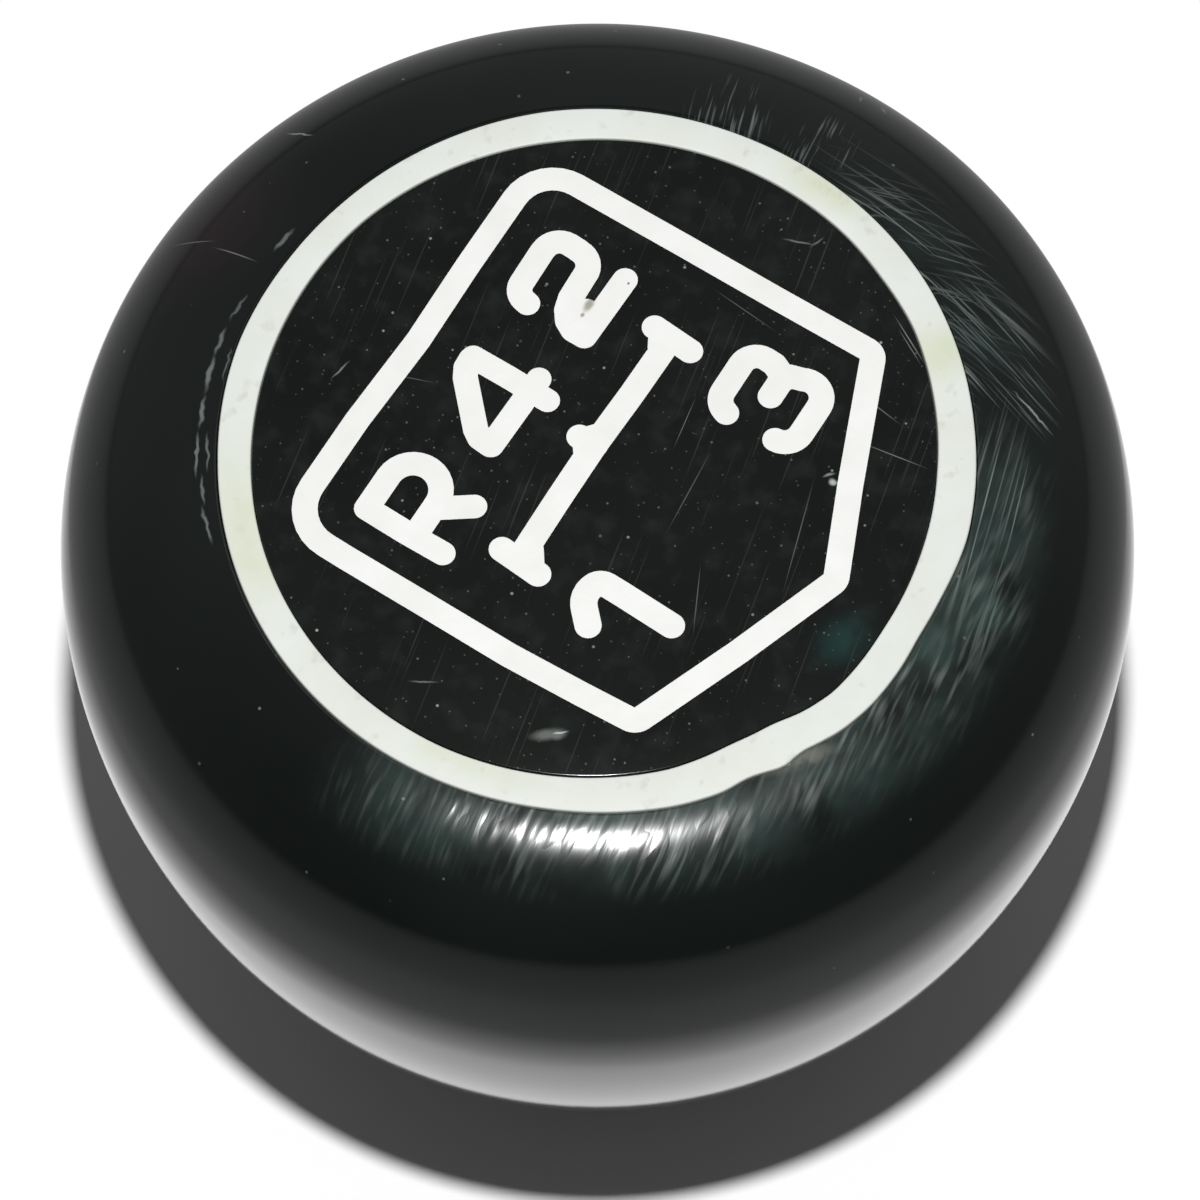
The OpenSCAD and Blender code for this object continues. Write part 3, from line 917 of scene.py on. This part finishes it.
# %% [markdown]
# ## Camera
# The knob is seen from above and from one side, about 21 cm away. The place, aim and lens follow from the
# ellipses of the top and of the widest circle.
# %% Camera
EYE = Vector((-69.319, -43.991, 246.425)) * MM
AIM = Vector((-5.969, -3.904, 49.44)) * MM
ROLL = -0.192
LENS = 143.97

bpy.ops.object.camera_add(location=EYE)
camera = bpy.context.object
look = (AIM - EYE).to_track_quat("-Z", "Y") @ Quaternion((0, 0, 1), radians(ROLL))
camera.rotation_euler = look.to_euler()
camera.data.lens = LENS
camera.data.sensor_width = 36
camera.data.clip_start = 0.01
camera.data.clip_end = 100
bpy.context.scene.camera = camera
print("camera", round((AIM - EYE).length / MM), "mm from the top")

# %% [markdown]
# ## Light
# One small lamp beside the lens gives the streak on the shoulder and the shadow in front of the knob. A
# dim grey world stands for the room. The lamp's falloff is off, so that the floor is as bright as the top,
# and at a power of pi squared a surface that faces it comes out in its own colour.
# %% Lamp and world
LAMP = Vector((-37.5, -24.9, 277.7)) * MM
LAMP_SIZE = 8.0
LAMP_POWER = 0.97 * pi ** 2
ROOM_FRONT = 0.01
ROOM_BACK = 0.26

bpy.ops.object.light_add(type="AREA", location=LAMP)
lamp = bpy.context.object
lamp.rotation_euler = (Vector((0, 0, WAIST_Z)) * MM - LAMP).to_track_quat("-Z", "Y").to_euler()
lamp.data.shape = "DISK"
lamp.data.size = LAMP_SIZE * MM
lamp.data.energy = LAMP_POWER
lamp.data.use_nodes = True
tree = lamp.data.node_tree
tree.nodes.clear()
even = add(tree, "LightFalloff", {"Strength": 1.0}, out="Constant")
glow = add(tree, "Emission", {"Strength": even})
add(tree, "OutputLight", {"Surface": glow})

world = bpy.data.worlds.new("room")
bpy.context.scene.world = world
world.use_nodes = True
tree = world.node_tree
tree.nodes.clear()
towards = add(tree, "TexCoord", out="Generated")
behind = (AIM - EYE).xy.normalized()
side = add(tree, "VectorMath", {0: towards, 1: (behind.x, behind.y, 0)}, out="Value", operation="DOT_PRODUCT")
room = add(tree, "MapRange", {0: side, 1: -1, 2: 1, 3: ROOM_FRONT, 4: ROOM_BACK})
sky = add(tree, "Background", {"Strength": room})
add(tree, "OutputWorld", {"Surface": sky})
bpy.context.scene.view_settings.view_transform = "Standard"
print("lamp", round(LAMP.z / MM), "mm above the table")

# %% [markdown]
# ## Table
# The table is plain white paint. Near the knob it is lit and takes the shadow. Further out it is simply
# white to the camera. In reflections that outer part counts as a third of the white, and less still far
# away, because a real table gets darker away from the lamp, and the knob's rim would be too pale otherwise.
# %% Floor
FLOOR_SIZE = 6.0
LIT_RADIUS = 34.0
FADE = 18.0
MIRRORED_WHITE = 0.33
FAR_START, FAR_END = 90.0, 900.0
MIRRORED_FAR = 0.12
TABLE_CUTS = 10

bpy.ops.object.select_all(action="DESELECT")
bpy.ops.mesh.primitive_plane_add(size=FLOOR_SIZE)
floor = bpy.context.object
floor.name = "white_table"
bpy.ops.object.mode_set(mode="EDIT")
bpy.ops.mesh.subdivide(number_cuts=TABLE_CUTS)
bpy.ops.object.mode_set(mode="OBJECT")
paint, tree, shader, in_mm = new_material("white_table_paint")
shader.inputs["Base Color"].default_value = linear("fcfcfc")
shader.inputs["Roughness"].default_value = 0.9
shader.inputs["Specular IOR Level"].default_value = 0.0
distance = add(tree, "VectorMath", {0: in_mm}, out="Value", operation="LENGTH")
far = add(tree, "MapRange", {0: distance, 1: LIT_RADIUS, 2: LIT_RADIUS + FADE})
camera_ray = add(tree, "LightPath", out="Is Camera Ray")
rays = camera_ray.node.outputs
direct = add(tree, "Math", {0: camera_ray, 1: rays["Is Transmission Ray"]}, **GREATEST)
plain = add(tree, "Math", {0: direct, 1: rays["Is Glossy Ray"]}, **GREATEST)
plain = add(tree, "Math", {0: far, 1: plain}, **TIMES)
mirrored = add(tree, "MapRange", {0: distance, 1: FAR_START, 2: FAR_END, 3: MIRRORED_WHITE, 4: MIRRORED_FAR})
strength = add(tree, "MapRange", {0: direct, 3: mirrored, 4: 1.0})
white = add(tree, "Emission", {"Strength": strength})
either = add(tree, "MixShader", {0: plain, 1: shader.outputs[0], 2: white})
output = next(node for node in tree.nodes if node.type == "OUTPUT_MATERIAL")
tree.links.new(either, output.inputs["Surface"])
floor.data.materials.append(paint)
print("table", FLOOR_SIZE, "m wide, lit up to", LIT_RADIUS, "mm from the knob's middle")
